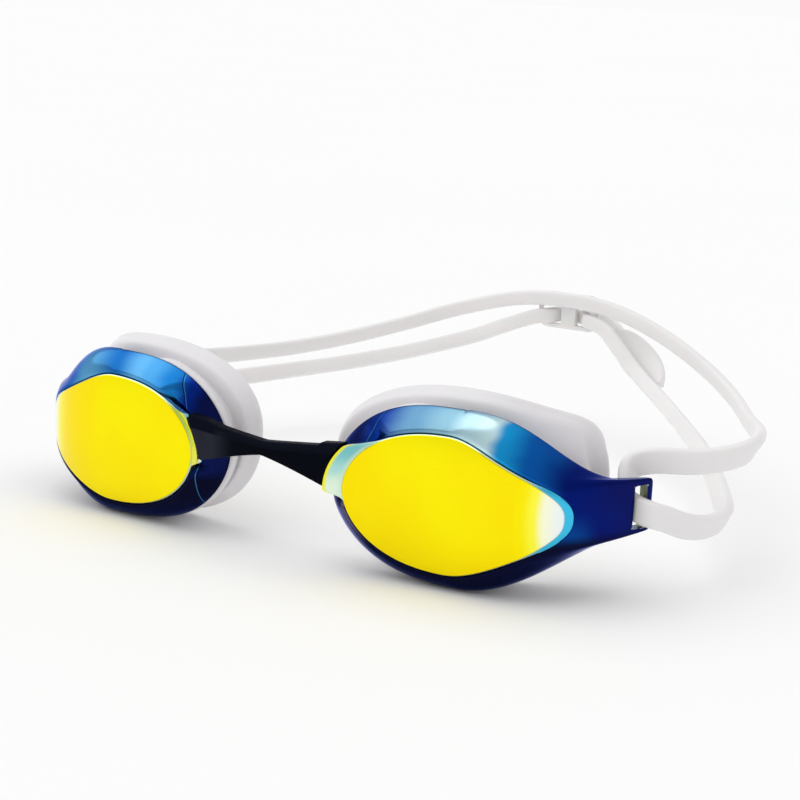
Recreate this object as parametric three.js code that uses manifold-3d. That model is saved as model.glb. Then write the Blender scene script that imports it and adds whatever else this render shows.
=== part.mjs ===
// Racing swim goggles: two mirrored lens plates in tinted eye cups, soft gaskets, a clip-in nose
// bridge, one silicone strap laced through both temple slots, and the rear clip that joins it.
// Millimetres, +Z up. The design frame has X = 0 midway between the eyes, Y = 0 at the lens fronts
// and +Y towards the back of the head. The finished group is moved so that its origin is the
// centre of the footprint, on the surface the goggles rest on.
import * as THREE from 'three';
import { mergeVertices } from 'three/addons/utils/BufferGeometryUtils.js';
import Module from 'manifold-3d';

const wasm = await Module();
wasm.setup();

// ---- driving dimensions ----
const ORIGIN = [0, 70.63, 5.4]; // footprint centre and resting height, in the design frame
const EYE_X = 40.8; // half the distance between lens centres
const EYE_Z = 22.8; // height of the lens centres
const FACE_WRAP = THREE.MathUtils.degToRad(3.2); // each lens turns outwards by this much
const GAP = 0.3; // space between pieces that touch
const AROUND = 52; // points around each lens, cup and gasket

const LENS = {
  nose: 22.5, temple: 23.5, top: 13.5, bottom: 14.0, droop: -0.2,
  thickness: 1.8, bevel: 0.35,
};
const TAB = { reach: 3, spread: 0.95, lift: 2.4, thickness: 1.5, low: -0.6, high: 8.6, fade: 2.6 };
const RIM = { nose: 28.4, temple: 24.8, top: 18.2, bottom: 17.4, wall: 2.2, inset: 4.4 };
const LIP = {
  centreU: -2.3, centreV: 3.7, nose: 28.9, temple: 23.5, top: 16.9, bottom: 20.6, width: 4.6,
  swell: 1.5, swellAt: 0.62,
};
const ARM = { endU: 31.4, endY: 28.2, top: 5.9, bottom: -4.6, thickness: 2 };
const SLOT = { width: 3.5, height: 8.7, post: 1.8 };
const BRIDGE = {
  halfWidth: 15, lean: 0.42, bulge: 0.8, front: -2.5, depth: 3.6, top: 31.2, bottom: 22.7,
  pad: 0.6,
};
const BAND = { front: 5.2, rear: 3.8, thickness: 2.2, chamfer: 0.5 };
const PADDLE = { width: 9.4, thickness: 1.5, length: 23 };
const CLIP = { y: 136.1, thickness: 1.8, halfWidth: 8.6, bottom: 34.4, top: 43.7, corner: 3.2 };
const WINDOW = { inner: 2, outer: 7.9, bottom: 35.45, top: 40 };
const PEG = { radius: 0.8, length: 1.1, hole: 1.1, spacing: 9, z: 42 };

// ---- solids ----

// Closed geometry from points and faces, turned so that its faces point out.
function closedGeometry(points, faces) {
  let volume = 0;
  for (const [a, b, c] of faces) {
    volume += points[a].dot(points[b].clone().cross(points[c]));
  }
  const outward = volume > 0 ? faces : faces.map(([a, b, c]) => [a, c, b]);
  const geometry = new THREE.BufferGeometry().setFromPoints(points);
  geometry.setIndex(outward.flat());
  return geometry;
}

// A skin through rings of equal point count. Open paths get a fan cap at each end.
function loft(rings, loop = false) {
  const count = rings[0].length;
  const points = rings.flat();
  const faces = [];
  const spans = loop ? rings.length : rings.length - 1;
  for (let i = 0; i < spans; i += 1) {
    const here = i * count;
    const next = ((i + 1) % rings.length) * count;
    for (let j = 0; j < count; j += 1) {
      const k = (j + 1) % count;
      faces.push([here + j, next + j, next + k], [here + j, next + k, here + k]);
    }
  }
  if (!loop) {
    const cap = (start, reverse) => {
      const ring = points.slice(start, start + count);
      const centre = ring.reduce((sum, p) => sum.add(p), new THREE.Vector3()).divideScalar(count);
      points.push(centre);
      for (let j = 0; j < count; j += 1) {
        const pair = reverse ? [(j + 1) % count, j] : [j, (j + 1) % count];
        faces.push([points.length - 1, start + pair[0], start + pair[1]]);
      }
    };
    cap(0, false);
    cap((rings.length - 1) * count, true);
  }
  return closedGeometry(points, faces);
}

function toManifold(geometry) {
  const plain = geometry.clone();
  plain.deleteAttribute('normal');
  plain.deleteAttribute('uv');
  const merged = mergeVertices(plain, 1e-4);
  const corners = Array.from(merged.index.array);
  const faces = [];
  for (let i = 0; i < corners.length; i += 3) {
    const [a, b, c] = corners.slice(i, i + 3);
    if (a !== b && b !== c && c !== a) faces.push(a, b, c);
  }
  return new wasm.Manifold(new wasm.Mesh({
    numProp: 3,
    vertProperties: new Float32Array(merged.attributes.position.array),
    triVerts: new Uint32Array(faces),
  }));
}

function fromManifold(solid) {
  const mesh = solid.getMesh();
  const geometry = new THREE.BufferGeometry();
  geometry.setAttribute('position', new THREE.BufferAttribute(mesh.vertProperties, 3));
  geometry.setIndex(new THREE.BufferAttribute(mesh.triVerts, 1));
  return geometry;
}

const smooth = (low, high, value) => THREE.MathUtils.smoothstep(value, low, high);
const signedPower = (value, power) => Math.sign(value) * Math.abs(value) ** power;
const STEP = (2 * Math.PI) / AROUND;
const angles = Array.from({ length: AROUND }, (_, i) => STEP * i);

// ---- the shape of one pod, for the wearer's side at +X ----
// u runs from the lens centre towards the temple, v up, and depth towards the head.

// Egg-shaped outline of the lens: round at the nose, drawn out towards the temple.
function lensOutline(angle, grow = 0) {
  const c = Math.cos(angle);
  const s = Math.sin(angle);
  const length = (c > 0 ? LENS.temple : LENS.nose) + grow;
  const height = (s > 0 ? LENS.top : LENS.bottom) + grow;
  if (c <= 0) return [length * signedPower(c, 2 / 2.25), height * signedPower(s, 2 / 1.89)];
  const share = c ** (2 / 1.1);
  const soft = (Math.hypot(share, 0.461) - 0.461) / (Math.hypot(1, 0.461) - 0.461);
  const [q, a, b] = s > 0 ? [0.452, -0.623, 0.459] : [0.367, -0.444, 0.107];
  const rise = (1 - soft) ** q * (1 + a * soft + b * soft * soft);
  const droop = LENS.droop * ((length * share) / LENS.temple) ** 2;
  return [length * share, Math.sign(s) * height * rise + droop];
}

// The lens front is a shallow dome that falls away fastest towards the temple.
function facePoint(u, v, behind = 0) {
  const depth = 0.00225 * u * u + 0.00055 * Math.max(u, 0) ** 3 + 0.0086 * v * v + behind;
  const x = EYE_X + u * Math.cos(FACE_WRAP) - depth * Math.sin(FACE_WRAP);
  const y = u * Math.sin(FACE_WRAP) + depth * Math.cos(FACE_WRAP);
  return new THREE.Vector3(x, y, EYE_Z + v);
}

const podPoint = (u, v, y) => new THREE.Vector3(EYE_X + u, y, EYE_Z + v);

// 1 where the nose tab stands out of the lens outline, fading to 0 above and below it.
function tabWeight(angle) {
  const [u, v] = lensOutline(angle);
  if (u > 0) return 0;
  return smooth(TAB.low - TAB.fade, TAB.low, v) * (1 - smooth(TAB.high, TAB.high + TAB.fade, v));
}

// Top or bottom edge of the temple arm at a station u, sweeping in from the rim.
function armEdge(u, side) {
  const end = side > 0 ? ARM.top : ARM.bottom;
  const start = side > 0 ? RIM.top : -RIM.bottom;
  const [reach, spread] = side > 0 ? [27.5, 1.45] : [ARM.endU, 1.305];
  const share = 0.5 * (1 + Math.cos(Math.PI * Math.min(u / reach, 1) ** spread));
  return end + (start - end) * share;
}

// How far the rim is set in from the outer skin, to run inside the arm on the temple side.
const outerInset = (u) => RIM.inset * smooth(0, 7, u);
const seatInset = (u) => RIM.inset * smooth(-12, 6, u);

// Rear rim of the cup: its outer edge, and the seat where the gasket sits.
function rimOutline(angle, grow = 0, inset = seatInset) {
  const c = Math.cos(angle);
  const s = Math.sin(angle);
  const side = Math.sign(s) || 1;
  const length = (c > 0 ? RIM.temple : RIM.nose) + grow;
  if (c <= 0) {
    const u = length * signedPower(c, 2 / 2.7);
    const height = (side > 0 ? RIM.top : RIM.bottom) + grow - inset(u);
    return [u, height * signedPower(s, 2 / 1.65)];
  }
  const u = length * c ** (2 / 1.7);
  const edge = Math.abs(armEdge(u, side)) + grow - inset(u);
  return [u, side * Math.max(edge, 1.5) * Math.sqrt(1 - (u / length) ** 5)];
}

const rimDepth = (u) => 6.4 + 0.03 * u + 0.022 * Math.max(u, 0) ** 2;

// Rear lip of the gasket, which meets the face.
function lipOutline(angle, grow = 0) {
  const c = Math.cos(angle);
  const s = Math.sin(angle);
  const swell = LIP.swell * Math.exp(-(((angle - LIP.swellAt) / 0.26) ** 2));
  const length = (c > 0 ? LIP.temple : LIP.nose) + grow + swell;
  const height = (s > 0 ? LIP.top : LIP.bottom) + grow + swell;
  const round = 2 / 2.25;
  return [
    LIP.centreU + length * signedPower(c, round),
    LIP.centreV + height * signedPower(s, round),
  ];
}

const lipDepth = (u) => 14.6 + 0.07 * u + 0.03 * Math.max(u, 0) ** 2;

// ---- lens plate with its nose tab ----
function lensGeometry() {
  const ring = (scale, behind) => angles.map((angle) => {
    const [u, v] = lensOutline(angle);
    return facePoint(u * scale, v * scale, behind);
  });
  const edge = (behind, tabBehind, shrink) => angles.map((angle) => {
    const weight = tabWeight(angle);
    const [u, v] = lensOutline(angle, -shrink);
    const depth = THREE.MathUtils.lerp(behind, tabBehind, weight);
    const reach = TAB.reach + TAB.spread * (v / TAB.high) ** 2;
    return facePoint(u - (reach - shrink) * weight, v, depth);
  });
  return loft([
    ring(0.35, 0), ring(0.7, 0), ring(0.95, 0),
    edge(LENS.bevel, -TAB.lift, 0),
    edge(LENS.thickness, TAB.thickness - TAB.lift, 0),
    ring(0.9, LENS.thickness), ring(0.5, LENS.thickness),
  ]);
}

// ---- eye cup: wall, lens seat and temple arm ----
function cupWall() {
  const sections = angles.map((angle) => {
    const near = [angle - STEP, angle, angle + STEP];
    const tab = Math.max(...near.map(tabWeight)) > 0 ? 1 : 0;
    const seat = LENS.thickness + GAP;
    const lip = THREE.MathUtils.lerp(0.2, seat, tab);
    const at = (grow, behind) => facePoint(...lensOutline(angle, grow), behind);
    const [ru, rv] = rimOutline(angle, 0, outerInset);
    const [iu, iv] = rimOutline(angle, -RIM.wall);
    return [
      at(0.95, lip), podPoint(ru, rv, rimDepth(ru)), podPoint(iu, iv, rimDepth(iu)),
      at(-1.7, seat + 1.6), at(-1.7, seat), at(GAP, seat), at(GAP, lip - 0.01),
    ];
  });
  return loft(sections, true);
}

const armDepth = (u) => 6.6 + 0.03 * u + ((ARM.endY - 7.5) / ARM.endU ** 2) * u * u;

// The arm is a plate drawn from the lens edge back to the arm's end.
function armPlate() {
  const columns = 16;
  const rows = 7;
  const outer = (row, share) => {
    const angle = THREE.MathUtils.degToRad(84) * share;
    const [fu, fv] = lensOutline(angle, 0.95);
    const front = facePoint(fu, fv, LENS.thickness + 2 * GAP);
    const side = Math.sign(share) || 1;
    const reach = 1 - smooth(0.26, 1, Math.abs(share)) * 0.96;
    const u = ARM.endU * reach;
    const flat = Math.min(Math.abs(share) / 0.26, 1);
    const v = armEdge(u, side) * flat + (1 - flat) * (ARM.top + ARM.bottom) / 2;
    const back = podPoint(u, v, armDepth(u));
    return front.lerp(back, row / (rows - 1));
  };
  const inner = (point) => {
    const towards = new THREE.Vector3(EYE_X - point.x, 0, EYE_Z - point.z).normalize();
    return point.clone().addScaledVector(towards, ARM.thickness / 0.88);
  };
  const rings = [];
  for (let column = 0; column <= columns; column += 1) {
    const skin = [];
    for (let row = 0; row < rows; row += 1) {
      skin.push(outer(row, 1 - (2 * column) / columns));
    }
    rings.push([...skin, ...skin.map(inner).reverse()]);
  }
  return loft(rings);
}

// Direction along the arm, seen from above.
const ARM_ALONG = new THREE.Vector3(0.44, 0.9, 0).normalize();

function armSlot() {
  const box = new THREE.BoxGeometry(14, SLOT.width, SLOT.height);
  const back = SLOT.post + SLOT.width / 2;
  box.rotateZ(Math.atan2(ARM_ALONG.y, ARM_ALONG.x) - Math.PI / 2);
  box.translate(
    EYE_X + ARM.endU - ARM_ALONG.x * back,
    ARM.endY - ARM_ALONG.y * back,
    EYE_Z + (ARM.top + ARM.bottom) / 2 - 0.2,
  );
  return box;
}

function cupGeometry() {
  const joined = toManifold(cupWall()).add(toManifold(armPlate()));
  return fromManifold(joined.subtract(toManifold(armSlot())));
}

// ---- gasket: a step against the cup, a neck, and the flared lip that meets the face ----
function gasketGeometry() {
  const sections = angles.map((angle) => {
    const rim = (grow, back) => {
      const [u, v] = rimOutline(angle, grow);
      return podPoint(u, v, rimDepth(u) + back);
    };
    const lip = (grow, back) => {
      const [u, v] = lipOutline(angle, grow);
      return podPoint(u, v, lipDepth(u) + back);
    };
    return [
      rim(-0.4, GAP), rim(0, GAP + 0.8), rim(0, 2.6), rim(-0.9, 3.4),
      lip(-0.5, -1.2), lip(0, 0), lip(-1.2, 1.4), lip(-LIP.width, 0.4),
      lip(-LIP.width - 0.8, -3.4), rim(-3.2, 2.4), rim(-3, GAP),
    ];
  });
  return loft(sections, true);
}

// ---- nose bridge: a bow tie with a ridge, its tongues tucked under the lens tabs ----
function bridgeGeometry() {
  const { halfWidth, lean, bulge, front, depth, top, bottom } = BRIDGE;
  // The end follows the curved edge of the lens tab.
  const endX = (z) => {
    const rise = (z - bottom) / (top - bottom);
    return halfWidth + lean * (z - bottom) - bulge * Math.sin(Math.PI * rise);
  };
  const section = (share, low, high, near, far, ridge = 1.2 + Math.abs(share)) => [
    [far, low], [near + 0.5, low], [near + 0.1, (low + high - ridge) / 2],
    [near, high - ridge], [near + 1.3, high], [far, high],
  ].map(([y, z]) => new THREE.Vector3(share * endX(z), y, z));
  const body = (share) => {
    const flare = Math.abs(share) ** 1.15;
    const low = THREE.MathUtils.lerp(26.4, bottom, flare);
    const pad = Math.abs(share) > 0.745 ? BRIDGE.pad : 0;
    const high = THREE.MathUtils.lerp(29.2, top, flare) + pad;
    return section(share, low, high, front, front + depth + flare * 0.4);
  };
  const tongue = (share) => section(share, bottom + 1.4, top - 1.2, 0.75, 1.9);
  const rings = [tongue(-1.06), tongue(-0.99)];
  for (const share of [
    -0.98, -0.85, -0.76, -0.73, -0.5, -0.25, 0, 0.25, 0.5, 0.73, 0.76, 0.85, 0.98,
  ]) {
    rings.push(body(share));
  }
  rings.push(tongue(0.99), tongue(1.06));
  return loft(rings);
}

// ---- strap ----
// One band, from its hidden end in the clip, through the slot of the left pod at +X, across the
// back, through the other slot and the clip, to its finger tab.

// The band beside one pod, from the clip to the slot and back to the middle of the rear run:
// x, y, height on the wearer's left, height on the wearer's right, lean in degrees. The two
// heights differ because the band lies folded as it was packed. The ends have one height.
const SIDE_ROUTE = [
  [5.4, 135.9, 37.5, 37.5, 0], [7.4, 134.9, 37.3, 37.2, 0], [11.5, 133.9, 36.1, 35.8, 10],
  [17, 131.6, 32.1, 33.4, 25], [23.7, 128.5, 27.4, 30.4, 33], [35.7, 118.4, 23.2, 26.3, 35],
  [46.9, 105.4, 20.9, 23.4, 33], [56.8, 90.9, 20.2, 21.7, 28], [65.2, 76.3, 19.9, 20.4, 22],
  [72.2, 63.1, 19.6, 18.5, 20], [77.6, 52.5, 19, 16.3, 22], [80.4, 45.8, 18.5, 15.1, 25],
  [80.6, 41.4, 18.1, 15, 25], [79.2, 36.6, 18.1, 15.9, 18], [77.4, 31.6, 19.3, 17.6, 8],
  [75.6, 28, 20.9, 19.9, 0], [73.5, 25.3, 22, 21.6, 0], [71.4, 24.9, 22.5, 22.5, 0],
  [69.4, 25.6, 22.9, 22.9, 0], [67.2, 26.6, 23.8, 23.4, 0], [65.7, 28.6, 26.2, 24.8, 0],
  [66, 31.3, 29.3, 25.6, 0], [69, 33.8, 30.4, 25.4, 0], [76.4, 39, 30.5, 24.2, 0],
  [80.6, 43.2, 31.1, 23.3, -4], [82.8, 46.8, 31.8, 23.2, -12], [83.2, 50.4, 32.2, 23.2, -22],
  [82.2, 55.3, 32.2, 23.5, -34], [79, 64.5, 30.6, 24, -28], [75.3, 77.1, 28.2, 24.4, -17],
  [70.2, 90.6, 26.4, 24.4, -8], [63.2, 104.1, 25.2, 25.2, 0], [54.5, 116.2, 27.5, 27.5, 0],
  [43.5, 125.6, 31.4, 31.4, 0], [28.5, 131.7, 37.1, 37.1, 0], [13.5, 134.4, 41.2, 41.2, 0],
];
const HIDDEN_END = [
  [-1.6, 139.7, 37.6, 0], [0.6, 139.7, 37.6, 0], [3, 139.1, 37.6, 0], [4.4, 137.5, 37.6, 0],
];
const TAB_END = [
  [-4.4, 137.6, 37.6, 0], [-3.2, 140.3, 37.6, 0], [-1.2, 142.2, 37.6, 0], [3.5, 142.6, 37.6, 0],
  [9.5, 140.9, 36.8, 8], [14.6, 137.6, 34.2, 20], [19.6, 134.7, 31.1, 30], [25.6, 131.3, 27.9, 33],
  [31, 127.2, 25.6, 34],
];
const REAR_MIDDLE = [0, 134.7, 42.3, 0];

const STRAP_ROUTE = [
  ...HIDDEN_END,
  ...SIDE_ROUTE.map(([x, y, left, , lean]) => [x, y, left, lean]),
  REAR_MIDDLE,
  ...SIDE_ROUTE.map(([x, y, , right, lean]) => [-x, y, right, lean]).reverse(),
  ...TAB_END,
];

const UP = new THREE.Vector3(0, 0, 1);

// Width of the band by distance from the rear, narrow at the back and wide at the slots.
const bandWidth = (y) => THREE.MathUtils.lerp(BAND.front, BAND.rear, smooth(30, 110, y));

// Lean of the band at a share of the route's points.
function leanAt(share) {
  const place = share * (STRAP_ROUTE.length - 1);
  const before = Math.min(Math.floor(place), STRAP_ROUTE.length - 2);
  return THREE.MathUtils.lerp(STRAP_ROUTE[before][3], STRAP_ROUTE[before + 1][3], place - before);
}

function strapGeometry() {
  const places = STRAP_ROUTE.map(([x, y, z]) => new THREE.Vector3(x, y, z));
  const curve = new THREE.CatmullRomCurve3(places, false, 'centripetal');
  const length = curve.getLength();
  const steps = 210;
  const rings = [];
  for (let i = 0; i <= steps; i += 1) {
    const share = i / steps;
    const centre = curve.getPointAt(share);
    const tangent = curve.getTangentAt(share);
    const level = new THREE.Vector3().crossVectors(UP, tangent).normalize();
    const lean = THREE.MathUtils.degToRad(leanAt(curve.getUtoTmapping(share)));
    const out = level.applyAxisAngle(tangent, -lean);
    const across = new THREE.Vector3().crossVectors(tangent, out);
    const left = (1 - share) * length;
    const oval = left < PADDLE.length
      ? Math.sqrt(Math.max(1 - ((2 * left) / PADDLE.length - 1) ** 2, 0.06)) : 0;
    const atTip = left < PADDLE.length / 2;
    const half = Math.max(atTip ? 0 : bandWidth(centre.y), PADDLE.width * oval) / 2;
    const thick = THREE.MathUtils.lerp(BAND.thickness, PADDLE.thickness, Math.min(oval * 2, 1)) / 2;
    const cut = BAND.chamfer;
    const corners = [
      [half, thick - cut], [half - cut, thick], [cut - half, thick], [-half, thick - cut],
      [-half, cut - thick], [cut - half, -thick], [half - cut, -thick], [half, cut - thick],
    ];
    rings.push(corners.map(([w, t]) => centre.clone()
      .addScaledVector(across, w).addScaledVector(out, t)));
  }
  const holes = [-1, 1].map((side) => {
    const hole = new THREE.CylinderGeometry(PEG.hole, PEG.hole, 1.6, 12);
    hole.translate((side * PEG.spacing) / 2, CLIP.y - 0.75, PEG.z);
    return toManifold(hole);
  });
  return fromManifold(toManifold(loft(rings)).subtract(holes[0]).subtract(holes[1]));
}

// ---- rear clip: a plate with a window each side of a centre bar, and two pegs ----
function clipGeometry() {
  const outline = new THREE.Shape();
  const endX = CLIP.halfWidth - CLIP.corner;
  const corners = [[1, -1], [1, 1], [-1, 1], [-1, -1]];
  corners.forEach(([sideX, sideZ], i) => {
    const z = sideZ > 0 ? CLIP.top - CLIP.corner : CLIP.bottom + CLIP.corner;
    const start = (Math.PI / 2) * (i - 1);
    outline.absarc(sideX * endX, z, CLIP.corner, start, start + Math.PI / 2);
  });
  const plate = new THREE.ExtrudeGeometry(outline, {
    depth: CLIP.thickness, bevelEnabled: false, curveSegments: 4,
  });
  plate.rotateX(Math.PI / 2);
  plate.translate(0, CLIP.y + CLIP.thickness, 0);
  let solid = toManifold(plate);
  const width = WINDOW.outer - WINDOW.inner;
  for (const side of [-1, 1]) {
    const cut = new THREE.BoxGeometry(width, 3 * CLIP.thickness, WINDOW.top - WINDOW.bottom);
    cut.translate(side * (WINDOW.inner + width / 2), CLIP.y, (WINDOW.top + WINDOW.bottom) / 2);
    solid = solid.subtract(toManifold(cut));
    const peg = new THREE.CylinderGeometry(PEG.radius, PEG.radius, PEG.length + 0.6, 12);
    peg.translate((side * PEG.spacing) / 2, CLIP.y - (PEG.length - 0.6) / 2, PEG.z);
    solid = solid.add(toManifold(peg));
  }
  return fromManifold(solid);
}

// ---- assembly ----
const goggles = new THREE.Group();
goggles.position.set(-ORIGIN[0], -ORIGIN[1], -ORIGIN[2]);

function addMesh(name, geometry, look) {
  const mesh = new THREE.Mesh(geometry, new THREE.MeshStandardMaterial(look));
  mesh.name = name;
  goggles.add(mesh);
}

// The mirrored twin of a geometry across the plane between the eyes.
function mirrored(geometry) {
  const twin = geometry.clone();
  twin.scale(-1, 1, 1);
  const order = Array.from(twin.index.array);
  for (let i = 0; i < order.length; i += 3) {
    [order[i + 1], order[i + 2]] = [order[i + 2], order[i + 1]];
  }
  twin.setIndex(order);
  return twin;
}

function addPair(name, geometry, look) {
  addMesh(`${name}_left`, geometry, look);
  addMesh(`${name}_right`, mirrored(geometry), look);
}

addPair('lens', lensGeometry(), { color: 0xe8d400, roughness: 0.08, metalness: 1 });
addPair('eye_cup', cupGeometry(), { color: 0x0a2f9a, roughness: 0.1, metalness: 0.6 });
addPair('gasket', gasketGeometry(), { color: 0xe9e6e6, roughness: 0.5, metalness: 0 });
addMesh('nose_bridge', bridgeGeometry(), { color: 0x10131c, roughness: 0.35, metalness: 0 });
addMesh('strap', strapGeometry(), { color: 0xece9ea, roughness: 0.5, metalness: 0 });
addMesh('rear_clip', clipGeometry(), { color: 0xe6e6ea, roughness: 0.15, metalness: 0 });

export default goggles;
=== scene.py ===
import math
import bpy
import numpy as np
from mathutils import Matrix, Vector


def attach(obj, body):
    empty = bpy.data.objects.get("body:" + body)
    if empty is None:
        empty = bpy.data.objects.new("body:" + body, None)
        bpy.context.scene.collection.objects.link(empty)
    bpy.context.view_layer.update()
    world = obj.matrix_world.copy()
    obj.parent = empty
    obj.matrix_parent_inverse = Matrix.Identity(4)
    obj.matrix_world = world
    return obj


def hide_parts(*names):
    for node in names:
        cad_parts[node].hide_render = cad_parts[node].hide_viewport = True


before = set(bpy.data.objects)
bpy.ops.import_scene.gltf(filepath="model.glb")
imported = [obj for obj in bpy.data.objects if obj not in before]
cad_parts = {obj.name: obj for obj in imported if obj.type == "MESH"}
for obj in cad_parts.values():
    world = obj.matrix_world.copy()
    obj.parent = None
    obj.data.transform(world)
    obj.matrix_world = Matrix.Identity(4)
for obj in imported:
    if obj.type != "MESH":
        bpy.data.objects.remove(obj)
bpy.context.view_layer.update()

# ---------------------------------------------------------------- camera
# A long lens in front of the wearer's left side, a little above the goggles. Metres.
CAMERA_AT = (0.20724, -0.37027, 0.11256)
CAMERA_RIGHT = (0.8549, 0.5164, 0.0500)
CAMERA_UP = (-0.1520, 0.1572, 0.9758)
CAMERA_BACK = (0.4960, -0.8418, 0.2129)
FOCAL_MM = 84.02
SENSOR_MM = 36.0

camera_data = bpy.data.cameras.new("camera")
camera_data.lens = FOCAL_MM
camera_data.sensor_width = SENSOR_MM
camera_data.clip_start = 0.01
camera_data.clip_end = 50.0
camera = bpy.data.objects.new("camera", camera_data)
bpy.context.scene.collection.objects.link(camera)
basis = Matrix((CAMERA_RIGHT, CAMERA_UP, CAMERA_BACK)).transposed().to_4x4()
camera.matrix_world = Matrix.Translation(CAMERA_AT) @ basis
bpy.context.scene.camera = camera
bpy.context.scene.view_settings.view_transform = "Standard"

# ---------------------------------------------------------------- dimensions, in mm
# The design frame has X = 0 between the eyes and Y = 0 at the lens fronts. ORIGIN is the place
# of the finished object's origin in it.
ORIGIN = np.array([0.0, 70.63, 5.4])
MM = 1000
EYE_X = 40.8
EYE_Z = 22.8
FACE_WRAP = math.radians(3.2)
GAP = 0.3

# Lens: reach from its centre each way, sag of its temple tip, and thickness.
LENS_NOSE, LENS_TEMPLE, LENS_TOP, LENS_BOTTOM = 22.5, 23.5, 13.5, 14.0
LENS_DROOP, LENS_THICK = -0.2, 1.8
# Exponents of the outline, the softness of the temple tip, and its upper and lower taper.
LENS_NOSE_POWER, LENS_TEMPLE_POWER, LENS_RISE_POWER, TIP_SOFTNESS = 2.25, 1.1, 1.89, 0.461
UPPER_TAPER = (0.452, -0.623, 0.459)
LOWER_TAPER = (0.367, -0.444, 0.107)
# Dome of the lens front: along u, extra towards the temple, and along v.
DOME_U, DOME_TEMPLE, DOME_V = 0.00225, 0.00055, 0.0086
# Nose tab: how far it stands out, its spread and lift, and the heights between which it lies.
TAB_REACH, TAB_SPREAD, TAB_LIFT = 3.0, 0.95, 2.4
TAB_LOW, TAB_HIGH, TAB_FADE = -0.6, 8.6, 2.6
# Rear rim of the cup, its wall, and how far the arm stands proud of it.
RIM_NOSE, RIM_TEMPLE, RIM_TOP, RIM_BOTTOM = 28.4, 24.8, 18.2, 17.4
RIM_WALL, RIM_INSET = 2.2, 4.4
RIM_NOSE_POWER, RIM_RISE_POWER, RIM_TEMPLE_POWER = 2.7, 1.65, 1.7
RIM_DEPTH = (6.4, 0.03, 0.022)
# Lip of the gasket: its centre and reach, its width, and the swelling at its upper corner.
LIP_U, LIP_V, LIP_NOSE, LIP_TEMPLE, LIP_TOP, LIP_BOTTOM = -2.3, 3.7, 28.9, 23.5, 16.9, 20.6
LIP_WIDTH, LIP_SWELL, LIP_SWELL_AT, LIP_SWELL_WIDE, LIP_POWER = 4.6, 1.5, 0.62, 0.26, 2.25
LIP_DEPTH = (14.6, 0.07, 0.03)
# Temple arm, how its edges sweep in from the rim, and its strap slot.
ARM_U, ARM_Y, ARM_TOP, ARM_BOTTOM, ARM_THICK = 31.4, 28.2, 5.9, -4.6, 2.0
ARM_TOP_REACH, ARM_TOP_SWEEP, ARM_BOTTOM_SWEEP = 27.5, 1.45, 1.305
SLOT_WIDTH, SLOT_HEIGHT, SLOT_POST, SLOT_CORNER, SLOT_CUT = 3.5, 8.7, 1.8, 0.7, 7.0
SLOT_DIRECTION = (0.44, 0.9, 0.0)


def smooth(low, high, value):
    """0 at low, 1 at high and an S-shaped curve between them."""
    t = np.clip((value - low) / (high - low), 0.0, 1.0)
    return t * t * (3 - 2 * t)


def power(value, exponent):
    """A power that keeps the sign of the value."""
    return np.sign(value) * np.abs(value) ** exponent


def bump(value, centre, width):
    """A bell curve of height 1."""
    return np.exp(-((value - centre) / width) ** 2)


# ---------------------------------------------------------------- mesh building
def loft(rings, loop=False):
    """Points and faces of a skin through rings of equal count, capped unless it loops."""
    rings = np.asarray(rings, float)
    count, around, _ = rings.shape
    points = rings.reshape(-1, 3)
    i = np.arange(count if loop else count - 1)[:, None]
    j = np.arange(around)[None, :]
    k = (j + 1) % around
    n = (i + 1) % count
    quads = np.stack([i * around + j, n * around + j, n * around + k, i * around + k], -1)
    faces = quads.reshape(-1, 4).tolist()
    if not loop:
        points = np.vstack([points, rings[0].mean(0), rings[-1].mean(0)])
        first, last = len(points) - 2, len(points) - 1
        base = (count - 1) * around
        faces += [[first, a, (a + 1) % around] for a in range(around)]
        faces += [[last, base + (a + 1) % around, base + a] for a in range(around)]
    return points, faces


def volume_sign(points, faces):
    """1 when the faces of a closed skin point out, -1 when they point in."""
    total = 0.0
    for size in (3, 4):
        corners = np.array([face for face in faces if len(face) == size], int)
        for k in range(1, size - 1 if len(corners) else 0):
            a, b, c = points[corners[:, 0]], points[corners[:, k]], points[corners[:, k + 1]]
            total += np.einsum("ij,ij->", a, np.cross(b, c))
    return 1 if total > 0 else -1


def make(name, points, faces, mirror=False, attributes=None, sharp=None):
    """A mesh object from points in mm of the design frame."""
    points = np.array(points, float)
    if mirror:
        points[:, 0] *= -1
    if volume_sign(points, faces) < 0:
        faces = [face[::-1] for face in faces]
    mesh = bpy.data.meshes.new(name)
    mesh.from_pydata(((points - ORIGIN) / MM).tolist(), [], faces)
    for key, values in (attributes or {}).items():
        layer = mesh.attributes.new(key, "FLOAT", "POINT")
        layer.data.foreach_set("value", np.asarray(values, float))
    mesh.shade_smooth()
    if sharp is not None:
        mesh.set_sharp_from_angle(angle=math.radians(sharp))
    obj = bpy.data.objects.new(name, mesh)
    bpy.context.scene.collection.objects.link(obj)
    return obj


def apply(obj, sharp=None):
    """Replace an object's mesh by what its modifiers give."""
    bpy.context.view_layer.update()
    graph = bpy.context.evaluated_depsgraph_get()
    mesh = bpy.data.meshes.new_from_object(obj.evaluated_get(graph))
    mesh.name = obj.name
    obj.modifiers.clear()
    obj.data = mesh
    mesh.shade_smooth()
    if sharp is not None:
        mesh.set_sharp_from_angle(angle=math.radians(sharp))


def boolean(obj, other, operation):
    """Join or cut in millimetres, a size at which the solver is robust."""
    grow, shrink = Matrix.Scale(MM, 4), Matrix.Scale(1 / MM, 4)
    obj.data.transform(grow)
    other.data.transform(grow)
    modifier = obj.modifiers.new("cut", "BOOLEAN")
    modifier.operation = operation
    modifier.solver = "EXACT"
    modifier.use_self = True
    modifier.object = other
    apply(obj)
    obj.data.transform(shrink)
    bpy.data.objects.remove(other)


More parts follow.
